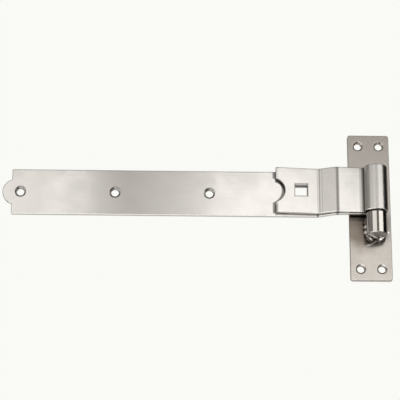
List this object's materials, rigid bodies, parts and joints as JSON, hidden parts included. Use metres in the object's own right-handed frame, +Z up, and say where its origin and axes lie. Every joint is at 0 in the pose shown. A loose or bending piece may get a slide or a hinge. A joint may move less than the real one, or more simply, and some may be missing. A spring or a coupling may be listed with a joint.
{
  "type": "hook and band hinge",
  "caption": "Cranked hook and band gate hinge in stainless steel: a folded strap with a rolled eye that swings on the upright pin of a welded screw-on plate.",
  "frame": {"origin": "centre of the hook plate's back face, in the middle of its four screw holes", "axes": "+X along the strap from its tail towards the pin, +Y into the post that the plate is screwed to, +Z up along the pin"},
  "size_m": [0.313, 0.0249, 0.124],
  "materials": {
    "band_steel": "satin rolled stainless sheet",
    "plate_steel": "satin rolled stainless plate",
    "turned_steel": "bright turned stainless bar",
    "weld_steel": "bare rippled weld"
  },
  "bodies": {
    "hook": {"hook_plate": "plate_steel", "hook_pin": "turned_steel", "weld_bead": "weld_steel"},
    "band": {"band": "band_steel"}
  },
  "joints": [
    {"name": "band_swing", "type": "hinge", "parent": "hook", "child": "band", "pos_m": [0.00375, -0.0152, 0.0105], "axis": [0, 0, 1], "range_deg": [0, 180]}
  ]
}
